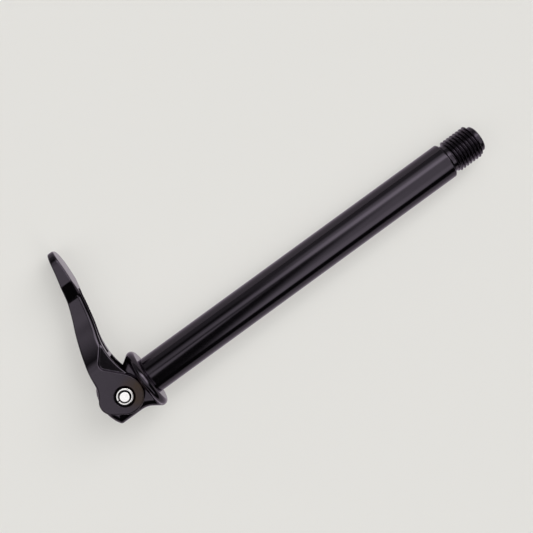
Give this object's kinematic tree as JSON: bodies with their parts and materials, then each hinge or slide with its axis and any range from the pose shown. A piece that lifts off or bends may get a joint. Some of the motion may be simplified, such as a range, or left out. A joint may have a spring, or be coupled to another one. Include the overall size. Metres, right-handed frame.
{
  "type": "bicycle thru axle",
  "caption": "Hollow 15 mm bicycle thru axle with a threaded end and a flanged cam head, clamped by a curved quick-release lever on a cross pin.",
  "frame": {"origin": "centre of the flange's seat face, on the axle's axis", "axes": "+Y along the axle from the lever to the threaded tip, +Z along the lever's pivot pin, and the closed lever points to -X"},
  "size_m": [0.074, 0.1827, 0.025],
  "materials": {
    "axle_black": "black anodised, bright turned",
    "housing_black": "black anodised, bright turned",
    "lever_black": "black anodised, satin forged",
    "pin_steel": "ground bright",
    "ring_steel": "bright drawn wire"
  },
  "bodies": {
    "axle": {"axle": "axle_black", "pivot_pin": "pin_steel", "upper_retaining_ring": "ring_steel", "lower_retaining_ring": "ring_steel"},
    "lever": {"lever": "lever_black"},
    "housing": {"cam_housing": "housing_black"}
  },
  "joints": [
    {"name": "lever_swing", "type": "hinge", "parent": "axle", "child": "lever", "pos_m": [0, -0.0118, 0], "axis": [0, 0, 1], "range_deg": [0, 122]},
    {"name": "housing_slide", "type": "slide", "parent": "axle", "child": "housing", "axis": [0, 1, 0], "range_m": [-0.0008, 0]}
  ],
  "couplings": [
    {"joint": "housing_slide", "follows": "lever_swing", "m_per_rad": -0.000375}
  ]
}
